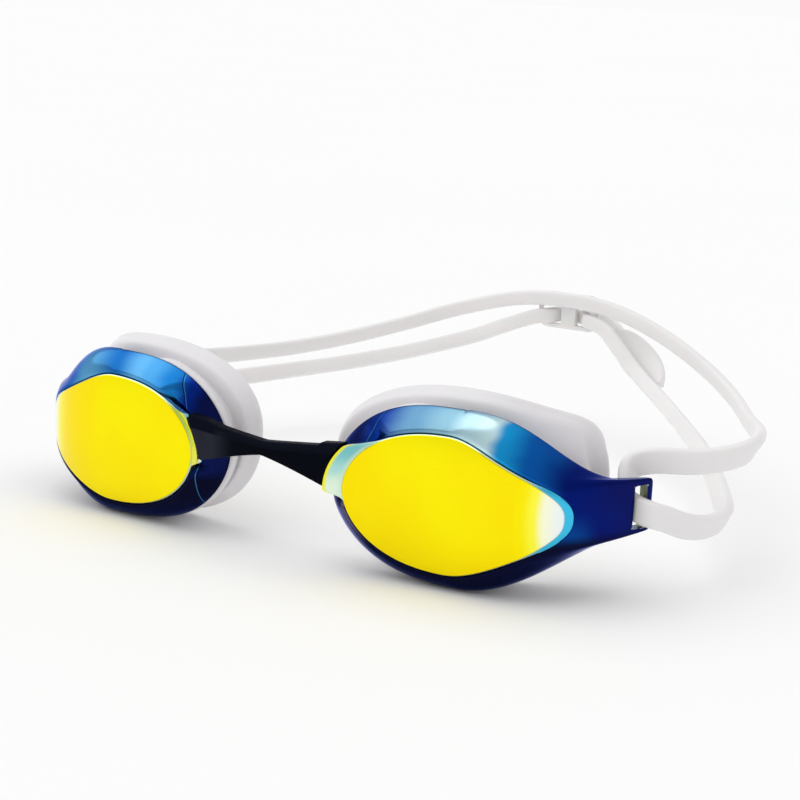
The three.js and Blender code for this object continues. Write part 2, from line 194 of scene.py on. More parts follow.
def spline(points, samples, closed=False):
    """Centripetal Catmull-Rom curve through points, sampled evenly along its length."""
    p = np.asarray(points, float)
    if closed:
        p = np.vstack([p[-1], p, p[0], p[1]])
    else:
        p = np.vstack([2 * p[0] - p[1], p, 2 * p[-1] - p[-2]])
    out = []
    for a, b, c, d in zip(p[:-3], p[1:-2], p[2:-1], p[3:]):
        d0, d1, d2 = (max(np.linalg.norm(y - x), 1e-9) ** 0.5 for x, y in ((a, b), (b, c), (c, d)))
        m1 = ((b - a) / d0 - (c - a) / (d0 + d1) + (c - b) / d1) * d1
        m2 = ((c - b) / d1 - (d - b) / (d1 + d2) + (d - c) / d2) * d1
        t = np.linspace(0, 1, 24, endpoint=False)[:, None]
        out.append(b + m1 * t + (3 * (c - b) - 2 * m1 - m2) * t ** 2
                   + (2 * (b - c) + m1 + m2) * t ** 3)
    out = np.vstack(out + [p[-2][None]])
    span = np.r_[0, np.cumsum(np.linalg.norm(np.diff(out, axis=0), axis=1))]
    at = np.linspace(0, span[-1], samples, endpoint=not closed)
    return np.stack([np.interp(at, span, out[:, k]) for k in range(out.shape[1])], -1)


def rounded_polygon(corners, radius, steps=5):
    """A closed 2-D polygon with each corner turned into an arc-like curve."""
    corners = np.asarray(corners, float)
    radius = np.broadcast_to(radius, len(corners))
    out = []
    for i, corner in enumerate(corners):
        before, after = corners[i - 1] - corner, corners[(i + 1) % len(corners)] - corner
        a = corner + before / np.linalg.norm(before) * radius[i]
        b = corner + after / np.linalg.norm(after) * radius[i]
        for t in np.linspace(0, 1, steps):
            out.append((1 - t) ** 2 * a + 2 * t * (1 - t) * corner + t * t * b)
    return np.array(out)


# ---------------------------------------------------------------- shapes of one pod
# u runs from the lens centre towards the temple, v up, and depth towards the head.
def taper(soft, curve):
    """Share of the lens's height that is left on the way to its temple tip."""
    exponent, linear, square = curve
    return (1 - soft) ** exponent * (1 + linear * soft + square * soft ** 2)


def lens_outline(angle, grow=0.0):
    """Egg-shaped outline: round at the nose, drawn out towards the temple."""
    c, s = np.cos(angle), np.sin(angle)
    length = np.where(c > 0, LENS_TEMPLE, LENS_NOSE) + grow
    height = np.where(s > 0, LENS_TOP, LENS_BOTTOM) + grow
    share = np.abs(c) ** np.where(c > 0, 2 / LENS_TEMPLE_POWER, 2 / LENS_NOSE_POWER)
    full = math.hypot(1, TIP_SOFTNESS) - TIP_SOFTNESS
    soft = np.minimum((np.hypot(share, TIP_SOFTNESS) - TIP_SOFTNESS) / full, 1)
    temple = np.where(s > 0, taper(soft, UPPER_TAPER), -taper(soft, LOWER_TAPER))
    u = np.sign(c) * length * share
    droop = np.where(c > 0, LENS_DROOP * (u / LENS_TEMPLE) ** 2, 0)
    return u, height * np.where(c > 0, temple, power(s, 2 / LENS_RISE_POWER)) + droop


def face_point(u, v, behind=0.0):
    """Place on the domed front of a lens, or behind it."""
    depth = DOME_U * u * u + DOME_TEMPLE * np.maximum(u, 0) ** 3 + DOME_V * v * v + behind
    x = EYE_X + u * math.cos(FACE_WRAP) - depth * math.sin(FACE_WRAP)
    y = u * math.sin(FACE_WRAP) + depth * math.cos(FACE_WRAP)
    return np.stack([x, y, EYE_Z + v + 0 * u], -1)


def pod_point(u, v, y):
    return np.stack([EYE_X + u, y + 0 * u, EYE_Z + v], -1)


def tab_weight(angle):
    """1 where the nose tab stands out of the lens outline, fading to 0 above and below it."""
    u, v = lens_outline(angle)
    inside = smooth(TAB_LOW - TAB_FADE, TAB_LOW, v) * (1 - smooth(TAB_HIGH, TAB_HIGH + TAB_FADE, v))
    return np.where(u > 0, 0.0, inside)


def arm_edge(u, side):
    """Top or bottom edge of the temple arm at a station u, sweeping in from the rim."""
    end = np.where(side > 0, ARM_TOP, ARM_BOTTOM)
    start = np.where(side > 0, RIM_TOP, -RIM_BOTTOM)
    share = np.where(side > 0, np.clip(u / ARM_TOP_REACH, 0, 1) ** ARM_TOP_SWEEP,
                     np.clip(u / ARM_U, 0, 1) ** ARM_BOTTOM_SWEEP)
    return end + (start - end) * 0.5 * (1 + np.cos(math.pi * share))


def outer_inset(u):
    """How far the rim is set in from the outer skin, to run inside the arm."""
    return RIM_INSET * smooth(0, 7, u)


def seat_inset(u):
    """The same for the seat of the gasket."""
    return RIM_INSET * smooth(-12, 6, u)


def rim_outline(angle, grow=0.0, inset=seat_inset):
    """Rear rim of the cup: rounded at the nose, and inside the arm at the temple."""
    c, s = np.cos(angle), np.sin(angle)
    side = np.where(s < 0, -1.0, 1.0)
    nose_u = (RIM_NOSE + grow) * power(c, 2 / RIM_NOSE_POWER)
    height = np.where(side > 0, RIM_TOP, RIM_BOTTOM) + grow - inset(nose_u)
    nose_v = height * power(s, 2 / RIM_RISE_POWER)
    length = RIM_TEMPLE + grow
    u = length * np.maximum(c, 0) ** (2 / RIM_TEMPLE_POWER)
    edge = np.abs(arm_edge(u, side)) + grow - inset(u)
    v = side * np.maximum(edge, 1.5) * np.sqrt(np.clip(1 - (u / length) ** 5, 0, 1))
    return np.where(c <= 0, nose_u, u), np.where(c <= 0, nose_v, v)


def depth_at(u, curve):
    """Depth at u of a rim or lip that bends back towards the temple."""
    start, slope, bend = curve
    return start + slope * u + bend * np.maximum(u, 0) ** 2


def lip_outline(angle, grow=0.0):
    """Rear lip of the gasket, which meets the face."""
    c, s = np.cos(angle), np.sin(angle)
    swell = LIP_SWELL * bump(angle, LIP_SWELL_AT, LIP_SWELL_WIDE)
    length = np.where(c > 0, LIP_TEMPLE, LIP_NOSE) + grow + swell
    height = np.where(s > 0, LIP_TOP, LIP_BOTTOM) + grow + swell
    return (LIP_U + length * power(c, 2 / LIP_POWER),
            LIP_V + height * power(s, 2 / LIP_POWER))


def arm_depth(u):
    """How far behind the lens front the arm's edge lies."""
    return 6.6 + 0.03 * u + (ARM_Y - 7.5) / ARM_U ** 2 * u * u


def even_angles(count, outline):
    """Angles that divide an outline into nearly equal steps."""
    fine = np.linspace(0, 2 * math.pi, 4001)
    u, v = outline(fine)
    span = np.r_[0, np.cumsum(np.hypot(np.diff(u), np.diff(v)))]
    return np.interp(np.linspace(0, span[-1], count, endpoint=False), span, fine)


# ---------------------------------------------------------------- materials
# Beside each seam's dark line lies a painted highlight, a pale line standing in for light caught
# along the seam.
SEAM_GLEAM = 0.19  # mm from a seam's dark line to the light line beside it


def node(tree, kind, inputs=None, **settings):
    """A shader node with its settings, and its inputs linked or set."""
    item = tree.nodes.new(kind)
    for key, value in settings.items():
        setattr(item, key, value)
    for key, value in (inputs or {}).items():
        if isinstance(value, bpy.types.NodeSocket):
            tree.links.new(value, item.inputs[key])
        else:
            item.inputs[key].default_value = value
    return item


def attribute(tree, name):
    return node(tree, "ShaderNodeAttribute", attribute_name=name).outputs["Fac"]


def math_node(tree, operation, a, b=0.0):
    return node(tree, "ShaderNodeMath", {0: a, 1: b}, operation=operation).outputs[0]


def mix(tree, factor, a, b):
    """Colour a at factor 0, colour b at factor 1."""
    item = node(tree, "ShaderNodeMix", data_type="RGBA")
    for key, value in ((0, factor), (6, a), (7, b)):
        if isinstance(value, bpy.types.NodeSocket):
            tree.links.new(value, item.inputs[key])
        else:
            item.inputs[key].default_value = value
    return item.outputs[2]


def noise(tree, scale, detail, stretch=(1, 1, 1), rough=0.5):
    place = node(tree, "ShaderNodeTexCoord").outputs["Object"]
    moved = node(tree, "ShaderNodeMapping", {"Vector": place, "Scale": stretch}).outputs[0]
    return node(tree, "ShaderNodeTexNoise", {
        "Vector": moved, "Scale": scale, "Detail": detail, "Roughness": rough}).outputs["Fac"]


def ramp(tree, value, stops):
    item = node(tree, "ShaderNodeValToRGB", {"Fac": value})
    item.color_ramp.interpolation = "EASE"
    elements = item.color_ramp.elements
    while len(elements) < len(stops):
        elements.new(0.5)
    for element, (at, colour) in zip(elements, stops):
        element.position = at
        element.color = colour if len(colour) == 4 else (*colour, 1)
    return item.outputs["Color"]


def grey(value):
    return (value, value, value, 1)


def material(name, **sockets):
    item = bpy.data.materials.new(name)
    item.use_nodes = True
    shader = item.node_tree.nodes["Principled BSDF"]
    for key, value in sockets.items():
        shader.inputs[key.replace("_", " ")].default_value = value
    return item, item.node_tree, shader


def bumped(tree, shader, height, strength, distance):
    item = node(tree, "ShaderNodeBump", {
        "Height": height, "Strength": strength, "Distance": distance})
    tree.links.new(item.outputs[0], shader.inputs["Normal"])


def range_map(tree, value, low, high, to_low, to_high):
    item = node(tree, "ShaderNodeMapRange", {
        "Value": value, "From Min": low, "From Max": high, "To Min": to_low, "To Max": to_high})
    return item.outputs[0]


def uneven_gloss(tree, shader, scale, detail, low, high):
    """Roughness that wanders between two values."""
    rough = range_map(tree, noise(tree, scale, detail), 0.3, 0.7, low, high)
    tree.links.new(rough, shader.inputs["Roughness"])


def silicone(name, colour, shade):
    item, tree, shader = material(name, IOR=1.41, Subsurface_Weight=0.25,
                                  Subsurface_Scale=0.002)
    shader.inputs["Subsurface Radius"].default_value = (1.0, 0.85, 0.8)
    cloud = noise(tree, 60, 3)
    tree.links.new(mix(tree, cloud, shade, colour), shader.inputs["Base Color"])
    uneven_gloss(tree, shader, 420, 4, 0.34, 0.5)
    bumped(tree, shader, noise(tree, 2600, 3), 0.18, 0.00004)
    return item


GASKET = silicone("white_silicone", (0.80, 0.785, 0.80, 1), (0.74, 0.725, 0.745, 1))
STRAP = silicone("strap_silicone", (0.86, 0.845, 0.845, 1), (0.80, 0.785, 0.79, 1))


def lens_material():
    """Gold mirror. Its attributes: fade to white at the temple, ring round the edge, tip of that
    ring, tab, rise up the tab, edge of the tab, and the groove inside the ring, which is darkened as
    painted shade."""
    item, tree, shader = material("gold_mirror", Metallic=0.92, IOR=1.58)
    gold = ramp(tree, noise(tree, 42, 2, (1, 1, 0.6)), [
        (0.35, (1.0, 0.88, 0.0)), (0.65, (1.0, 0.78, 0.0))])
    gold = mix(tree, math_node(tree, "MULTIPLY", noise(tree, 3200, 2), 0.10), gold,
               (0.90, 0.74, 0.0, 1))
    fade = ramp(tree, attribute(tree, "fade"), [
        (0.0, (1.0, 0.84, 0.0)), (0.30, (1.0, 0.95, 0.05)),
        (0.65, (0.96, 0.98, 0.72)), (1.0, (0.86, 0.92, 0.93))])
    seen = math_node(tree, "GREATER_THAN", attribute(tree, "fade"), 0.001)
    surface = mix(tree, seen, gold, fade)
    crescent = mix(tree, attribute(tree, "tip"), (0.62, 0.80, 0.62, 1), (0.05, 0.52, 0.80, 1))
    # Painted shade: the fine groove round the mirror is darkened.
    groove = math_node(tree, "MULTIPLY", attribute(tree, "groove"), 0.55)
    surface = mix(tree, groove, surface, (0.30, 0.27, 0.01, 1))
    surface = mix(tree, attribute(tree, "ring"), surface, crescent)
    tab = ramp(tree, attribute(tree, "rise"), [
        (0.0, (0.75, 0.90, 0.74)), (0.45, (0.40, 0.74, 0.72)), (1.0, (0.20, 0.58, 0.66))])
    surface = mix(tree, attribute(tree, "tab"), surface, tab)
    surface = mix(tree, attribute(tree, "edge"), surface, (0.93, 0.86, 0.02, 1))
    tree.links.new(surface, shader.inputs["Base Color"])
    uneven_gloss(tree, shader, 240, 3, 0.10, 0.17)
    bumped(tree, shader, noise(tree, 900, 2), 0.05, 0.00003)
    return item


LENS = lens_material()


def cup_material():
    """Blue metallic coat with colour gradients painted along the wall, and painted light and shade.
    Its attributes: along from nose to temple; sky on top, which carries a painted highlight; under
    below, painted dark as shade; a painted highlight set for the wearer's right pod; a painted
    lavender sheen at the nose; the seam, a dark line with a painted highlight beside it; a painted
    shade line along the rear edge; and a painted highlight inside the slot."""
    item, tree, shader = material("blue_cup", Metallic=0.97, IOR=1.5, Coat_Weight=0.06,
                                  Coat_Roughness=0.08, Coat_IOR=1.45)
    shader.inputs["Specular Tint"].default_value = (0.5, 0.55, 1.0, 1)
    streak = noise(tree, 30, 3, (0.5, 1.4, 2.8), 0.55)
    sweep = math_node(tree, "ADD", attribute(tree, "along"), math_node(
        tree, "MULTIPLY", math_node(tree, "SUBTRACT", streak, 0.5), 0.14))
    side = ramp(tree, attribute(tree, "along"), [
        (0.0, (0.002, 0.006, 0.06)), (0.45, (0.0, 0.008, 0.13)), (0.78, (0.0, 0.010, 0.15)),
        (0.865, (0.001, 0.055, 0.28)), (0.91, (0.001, 0.006, 0.14)), (1.0, (0.004, 0.005, 0.085))])
    # Painted highlight: pale cyan-white colours, streaked by noise, stand in for the sky and key
    # light reflected on the top wall.
    top = ramp(tree, sweep, [
        (0.10, (0.004, 0.006, 0.03)), (0.22, (0.0, 0.03, 0.27)), (0.36, (0.12, 0.28, 0.44)),
        (0.47, (0.22, 0.42, 0.53)), (0.545, (0.46, 0.68, 0.76)), (0.615, (0.58, 0.80, 0.85)),
        (0.655, (0.010, 0.33, 0.72)), (0.74, (0.002, 0.10, 0.42)), (0.86, (0.0, 0.008, 0.15)),
        (1.0, (0.003, 0.005, 0.085))])
    # Painted highlight colours for the wearer's right pod, with their own bands of reflected light
    # across the top wall.
    right_pod_highlight = ramp(tree, sweep, [
        (0.10, (0.0, 0.001, 0.015)), (0.17, (0.0, 0.02, 0.25)), (0.23, (0.008, 0.16, 0.47)),
        (0.31, (0.06, 0.30, 0.62)), (0.36, (0.10, 0.36, 0.66)), (0.46, (0.008, 0.13, 0.42)),
        (0.60, (0.10, 0.34, 0.58)), (0.72, (0.004, 0.10, 0.38)), (0.90, (0.0, 0.02, 0.20)),
        (1.0, (0.0, 0.01, 0.10))])
    top = mix(tree, attribute(tree, "right_pod_highlight"), top, right_pod_highlight)
    # Painted shade: near-black on the underside of the cup.
    dark = mix(tree, streak, (0.001, 0.001, 0.008, 1), (0.003, 0.004, 0.035, 1))
    # Over the upward-facing wall the painted highlight takes the place of the wall's colour.
    blue = mix(tree, attribute(tree, "sky"), side, top)
    blue = mix(tree, attribute(tree, "under"), blue, dark)
    # Painted sheen: a lavender grazing glow low on the nose side of the left pod.
    blue = mix(tree, attribute(tree, "nose_sheen"), blue, (0.13, 0.11, 0.20, 1))
    seam = attribute(tree, "seam")
    line = range_map(tree, math_node(tree, "ABSOLUTE", seam), 0.05, 0.13, 0.85, 0.0)
    blue = mix(tree, line, blue, (0.0, 0.0, 0.012, 1))
    # Painted highlight: a pale blue line beside the seam's dark line.
    beside = math_node(tree, "ABSOLUTE", math_node(tree, "SUBTRACT", seam, SEAM_GLEAM))
    gleam = range_map(tree, beside, 0.03, 0.10, 0.75, 0.0)
    blue = mix(tree, gleam, blue, (0.06, 0.26, 0.55, 1))
    # Painted shade: a thin dark line along the rear edge, where the rounded edge turns away from the
    # light.
    blue = mix(tree, attribute(tree, "edge_shade"), blue, (0.0, 0.001, 0.012, 1))
    # Painted highlight: pale yellow-green on the faces inside the strap slot.
    blue = mix(tree, attribute(tree, "slot"), blue, (0.30, 0.34, 0.22, 1))
    tree.links.new(blue, shader.inputs["Base Color"])
    uneven_gloss(tree, shader, 300, 3, 0.16, 0.26)
    bumped(tree, shader, noise(tree, 700, 2), 0.05, 0.00004)
    return item


CUP = cup_material()


def bridge_material():
    """Near-black plastic, with painted light: a grey reflection where its end flares out on the
    wearer's right, and a highlight on its top facet.
    """
    item, tree, shader = material("black_bridge", IOR=1.25, Specular_IOR_Level=0.04)
    colour = mix(tree, noise(tree, 120, 3), (0.001, 0.002, 0.004, 1), (0.003, 0.004, 0.008, 1))
    # Painted reflection: lighter grey on the flared end at the wearer's right.
    colour = mix(tree, attribute(tree, "flare"), colour, (0.022, 0.024, 0.036, 1))
    # Painted highlight: the top facet is lighter than the front.
    colour = mix(tree, attribute(tree, "top"), colour, (0.003, 0.004, 0.010, 1))
    tree.links.new(colour, shader.inputs["Base Color"])
    uneven_gloss(tree, shader, 500, 4, 0.32, 0.46)
    bumped(tree, shader, noise(tree, 4200, 3), 0.25, 0.00004)
    return item


BRIDGE = bridge_material()


def clip_material():
    item, tree, shader = material("clear_clip", IOR=1.5, Transmission_Weight=0.12,
                                  Subsurface_Weight=0.5, Subsurface_Scale=0.004)
    colour = mix(tree, noise(tree, 160, 2), (0.88, 0.87, 0.87, 1), (0.95, 0.94, 0.94, 1))
    tree.links.new(colour, shader.inputs["Base Color"])
    uneven_gloss(tree, shader, 400, 2, 0.12, 0.22)
    return item


CLIP = clip_material()


def finish_piece(obj, mat, slot, body, *nodes):
    """Give a piece its material, the body it rides on and the CAD nodes it replaces. The slot
    argument is not used.
    """
    obj.data.materials.clear()
    obj.data.materials.append(mat)
    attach(obj, body)
    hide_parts(*nodes)


# ---------------------------------------------------------------- lens
EDGE_WIDTH = 0.22  # pale ring round the mirror
TIP_WIDTH = 0.85  # extra width of the ring at the temple
SNUG = 0.17  # how much closer the lens fits the cup at the temple
EDGE_SINK = 0.36  # depth of the lens edge behind the mirror's face


def lens(side):
    angles = even_angles(300, lens_outline)
    u, v = lens_outline(angles)
    run = np.stack([np.roll(u, -1) - np.roll(u, 1), np.roll(v, -1) - np.roll(v, 1)])
    out_u, out_v = np.stack([run[1], -run[0]]) / np.hypot(*run)
    snug = SNUG * smooth(15.0, 20.5, u)
    inner_u = u - EDGE_WIDTH * out_u - TIP_WIDTH * smooth(15.0, 22.5, u)
    inner_v = v - EDGE_WIDTH * out_v
    weight = tab_weight(angles)
    reach = TAB_REACH + TAB_SPREAD * (v / TAB_HIGH) ** 2
    rows = {key: [] for key in ("fade", "ring", "tab", "edge", "tip", "rise", "groove")}
    rings = []

    def push(points, ring=0.0, tab=0.0, edge=0.0, groove=0.0):
        rings.append(points)
        at = points[:, 0] - EYE_X
        height = points[:, 2] - EYE_Z
        rows["fade"].append(smooth(14.4, 22.4, at - 0.012 * height ** 2))
        rows["ring"].append(ring + 0 * u)
        rows["tab"].append(tab * weight)
        rows["edge"].append(edge * smooth(0.75, 0.95, weight))
        rows["tip"].append(smooth(14.0, 20.0, u))
        rows["rise"].append(smooth(TAB_LOW, TAB_HIGH, v))
        rows["groove"].append(groove + 0 * u)

    # The mirror, the fine groove round it, the ring with its tab, the edge, and the back.
    for share in [0.02, 0.06, *np.linspace(0.12, 0.96, 22), 0.985, 0.996]:
        push(face_point(inner_u * share, inner_v * share))
    # The groove ring, whose colour is darkened as painted shade.
    push(face_point(inner_u, inner_v, 0.06), groove=1.0)
    push(face_point(inner_u + 0.05 * out_u, inner_v + 0.05 * out_v, 0.10), 1.0)
    for share in [0.25, 0.5, 0.75, 0.92]:
        flat = face_point(inner_u + (u - inner_u) * share, inner_v + (v - inner_v) * share,
                          0.10 + 0.22 * share ** 2)
        flap = face_point(u - reach * weight * share, v, -TAB_LIFT * share * weight)
        push(flat + (flap - flat) * weight[:, None], 1.0, 1.0, 1.0 if share > 0.9 else 0.0)
    for depth, out, yellow in [(0, 1, 1), (0.12, 1.035, 0.6), (0.5, 1.05, 0), (1, 1.035, 0)]:
        flat = face_point(u + snug * out_u, v + snug * out_v,
                          EDGE_SINK + depth * (LENS_THICK - 0.4))
        flap = face_point(u - reach * weight * out, v, (-TAB_LIFT + depth * 1.5) * weight)
        push(flat + (flap - flat) * weight[:, None], 1.0, 1.0, yellow)
    for share in [0.9, 0.6, 0.3, 0.05]:
        push(face_point(u * share, v * share, LENS_THICK))
    points, faces = loft(rings)
    values = {key: np.r_[np.concatenate(row), 0.0, 0.0] for key, row in rows.items()}
    name = f"lens_{side}"
    obj = make(f"{name}_plate", points, faces, side == "right", values, 50)
    finish_piece(obj, LENS, "gold_mirror", "frame", name)


# ---------------------------------------------------------------- eye cup
ARM_ANGLE = math.radians(84)  # the arm takes this much of the outline each side of the temple
ARM_END = 0.26  # share of that angle taken by the arm's straight end
CUP_AROUND, WALL_AROUND = 320, 220


def from_temple(angles):
    """Angles between -pi and pi, 0 at the temple."""
    return (angles + math.pi) % (2 * math.pi) - math.pi


def rear_edge(angles):
    """Back edge of the outer skin: the rim on the nose side, the arm on the temple side."""
    wrapped = from_temple(angles)
    share = np.clip(wrapped / ARM_ANGLE, -1, 1)
    side = np.where(share < 0, -1.0, 1.0)
    reach = 1 - smooth(ARM_END, 1, np.abs(share)) * 0.96
    flat = np.minimum(np.abs(share) / ARM_END, 1)
    u = ARM_U * reach
    v = arm_edge(u, side) * flat + (1 - flat) * (ARM_TOP + ARM_BOTTOM) / 2
    arm = pod_point(u, v, arm_depth(u))
    ru, rv = rim_outline(angles, 0.0, outer_inset)
    rim = pod_point(ru, rv, depth_at(ru, RIM_DEPTH))
    blend = smooth(math.radians(80), math.radians(96), np.abs(wrapped))[:, None]
    return arm * (1 - blend) + rim * blend, blend[:, 0]


def outwards(points):
    """Direction out of the cup at points on its skin."""
    far = smooth(5, 25, points[:, 0] - EYE_X)[:, None]
    centre = np.array([EYE_X - 3, 14.0, EYE_Z]) + far * np.array([-2.0, 24.0, 0.0])
    away = points - centre
    return away / np.linalg.norm(away, axis=1, keepdims=True)


def cup_angles():
    """Angles that are even along both the rear edge and the lens outline."""
    fine = np.linspace(0, 2 * math.pi, 4001)
    edge, _ = rear_edge(fine)
    span = np.r_[0, np.cumsum(np.linalg.norm(np.diff(edge, axis=0), axis=1))]
    u, v = lens_outline(fine)
    span = span + np.r_[0, np.cumsum(np.hypot(np.diff(u), np.diff(v)))]
    return np.interp(np.linspace(0, span[-1], CUP_AROUND, endpoint=False), span, fine)


def cup_skin(angles, seat):
    """Outer wall and arm, from the lens edge back and round to the inside. Also gives its edge."""
    edge, nose = rear_edge(angles)
    wrapped = from_temple(angles)
    # Ease the two corners at the arm's end.
    corner = bump(np.abs(wrapped), math.radians(22), math.radians(4))[:, None]
    for _ in range(6):
        even = (np.roll(edge, 1, axis=0) + edge + np.roll(edge, -1, axis=0)) / 3
        edge = edge + (even - edge) * corner
    # The front edge lies lower under the nose tab.
    shifts = np.radians(np.linspace(-9, 9, 13))
    near = [smooth(0.0, 0.2, tab_weight(angles + shift)) for shift in shifts]
    tabbed = smooth(0.12, 0.8, np.mean(near, axis=0))
    lip = 0.25 + (seat - 0.25) * tabbed

    def at(grow, behind):
        return face_point(*lens_outline(angles, grow), behind)

    front = at(0.95, lip)
    outward = edge - front
    chord = np.linalg.norm(outward, axis=1, keepdims=True)
    thick = (RIM_WALL + (ARM_THICK - RIM_WALL) * (1 - nose))[:, None]
    turn = np.degrees(wrapped)
    belly = (0.5 + 1.25 * bump(turn, 48, 30) + 0.7 * bump(turn, -45, 30))[:, None]
    # The edge round the lens, the outer wall, the rear edge, the inside and the lens seat.
    skin = [at(0.25, lip + 0.12), at(0.45, lip), at(0.75, lip)]
    for share in [0.0, 0.03, *np.linspace(0.08, 0.92, 15), 0.97]:
        point = front + outward * share
        skin.append(point + outwards(point) * 4 * share * (1 - share) * belly)
    rearward = outward / chord
    for drop, back in [(0.10, 0.0), (0.45, 0.22), (1.0, 0.3), (1.55, 0.22), (1.9, 0.0)]:
        skin.append(edge + rearward * (back - 0.25) - outwards(edge) * drop * thick / 2)
    for share in [0.9, 0.7, 0.45, 0.25]:
        point = front + outward * share
        skin.append(point - outwards(point) * thick)
    skin += [at(-1.7, seat + 1.6), at(-1.7, seat + 0.1), at(-1.6, seat), at(GAP, seat)]
    return np.array(skin), edge


def inner_wall(seat):
    """The wall that carries the gasket, inside the arm on the temple side."""
    angles = even_angles(WALL_AROUND, rim_outline)

    def rear_at(grow):
        u, v = rim_outline(angles, grow)
        return pod_point(u, v, depth_at(u, RIM_DEPTH) - 0.12)

    def seat_at(grow):
        return face_point(*lens_outline(angles, grow), seat + 0.35)

    rear, rear_in = rear_at(-0.35), rear_at(-RIM_WALL + 0.25)
    front, front_in = seat_at(0.5), seat_at(-1.4)
    wall = [front]
    wall += [front + (rear - front) * share for share in np.linspace(0.15, 0.97, 7)]
    wall += [rear, rear_in]
    wall += [rear_in + (front_in - rear_in) * share for share in np.linspace(0.1, 0.9, 7)]
    wall.append(front_in)
    return np.array(wall)


def paint_cup(mesh, edge, side):
    """Attributes of the blue coat and of its painted light and shade, by place on the pod."""
    co = np.empty(len(mesh.vertices) * 3)
    mesh.vertices.foreach_get("co", co)
    co = co.reshape(-1, 3) * MM + ORIGIN
    u, v = co[:, 0] - EYE_X, co[:, 2] - EYE_Z
    values = {
        "along": np.clip((u + 30) / 62, 0, 1),
        # Mask of the upward-facing wall, which carries the painted highlight.
        "sky": smooth(2.0, 9.0, v + 0.3 * np.maximum(u, 0)) * smooth(-26.0, -15.0, u),
        # Mask of the underside, which is painted dark as shade.
        "under": smooth(-3.2, -6.0, v),
        "seam": seam_distance(u, v),
        # 1 on the wearer's right pod, which gets its own painted highlight colours.
        "right_pod_highlight": np.full(len(co), float(side == "right")),
        # Mask of the painted lavender sheen, on the left pod only.
        "nose_sheen": smooth(-15.5, -22.0, u) * smooth(-1.0, -5.0, v) * 0.8 * (side == "left"),
        # Mask of the painted shade line along the rear edge.
        "edge_shade": smooth(0.6, 0.2, distance_to(edge, co)),
    }
    for key, row in values.items():
        layer = mesh.attributes.new(key, "FLOAT", "POINT")
        layer.data.foreach_set("value", row)
    # The faces inside the slot get a painted highlight.
    centres = np.empty(len(mesh.polygons) * 3)
    mesh.polygons.foreach_get("center", centres)
    layer = mesh.attributes.new("slot", "FLOAT", "FACE")
    layer.data.foreach_set("value", in_slot(centres.reshape(-1, 3) * MM + ORIGIN))


def cup(side):
    seat = LENS_THICK + GAP
    skin, edge = cup_skin(cup_angles(), seat)
    shell = make(f"eye_cup_{side}_wall", *loft(skin, loop=True))
    boolean(shell, make("inner", *loft(inner_wall(seat), loop=True)), "UNION")
    boolean(shell, slot_cutter(), "DIFFERENCE")
    mesh = shell.data
    paint_cup(mesh, edge, side)
    if side == "right":
        mesh.transform(Matrix.Diagonal((-1, 1, 1, 1)))
        mesh.flip_normals()
    mesh.shade_smooth()
    mesh.set_sharp_from_angle(angle=math.radians(38))
    finish_piece(shell, CUP, "blue_cup", "frame", f"eye_cup_{side}")


def distance_to(line, points):
    """Distance of each point from the nearest of a line's places."""
    return np.array([np.linalg.norm(line - point, axis=1).min() for point in points])


SEAMS = [((-16.0, 15.7), (-18.5, 9.5)), ((-22.3, -11.2), (-23.4, -2.5))]
NO_SEAM = 9.0


def seam_distance(u, v):
    """Signed distance in mm from the upper or lower seam on the wall's nose side."""
    nearest = np.full(len(u), NO_SEAM)
    for (u0, v0), (u1, v1) in SEAMS:
        away = ((u - u0) * (v1 - v0) - (v - v0) * (u1 - u0)) / math.hypot(u1 - u0, v1 - v0)
        near_side = (np.sign(v) == np.sign(v0)) & (u < -8)
        nearest = np.where(near_side, away, nearest)
    return nearest


def slot_frame():
    """Centre of the strap slot, the direction along the arm, and the one through it."""
    along = np.array(SLOT_DIRECTION)
    along /= np.linalg.norm(along)
    across = np.array([along[1], -along[0], 0.0])
    end = np.array([EYE_X + ARM_U, ARM_Y, EYE_Z + (ARM_TOP + ARM_BOTTOM) / 2 - 0.2])
    return end - along * (SLOT_POST + SLOT_WIDTH / 2), along, across


def in_slot(points):
    """1 on the faces inside the strap slot, 0 elsewhere."""
    centre, along, _ = slot_frame()
    lengthways = np.abs((points - centre) @ along)
    upright = np.abs(points[:, 2] - centre[2])
    inside = (lengthways < SLOT_WIDTH / 2 + 0.02) & (upright < SLOT_HEIGHT / 2 + 0.02)
    return inside.astype(float)


def slot_cutter():
    """A block through the arm, longer each way than the arm is thick."""
    centre, along, across = slot_frame()
    w, h = SLOT_WIDTH / 2, SLOT_HEIGHT / 2
    outline = rounded_polygon([(-w, -h), (w, -h), (w, h), (-w, h)], SLOT_CORNER)
    rings = []
    for reach in (-SLOT_CUT, SLOT_CUT):
        rings.append([centre + across * reach + along * a + np.array([0, 0, b])
                      for a, b in outline])
    points, faces = loft(np.array(rings))
    return make("slot", points, faces)


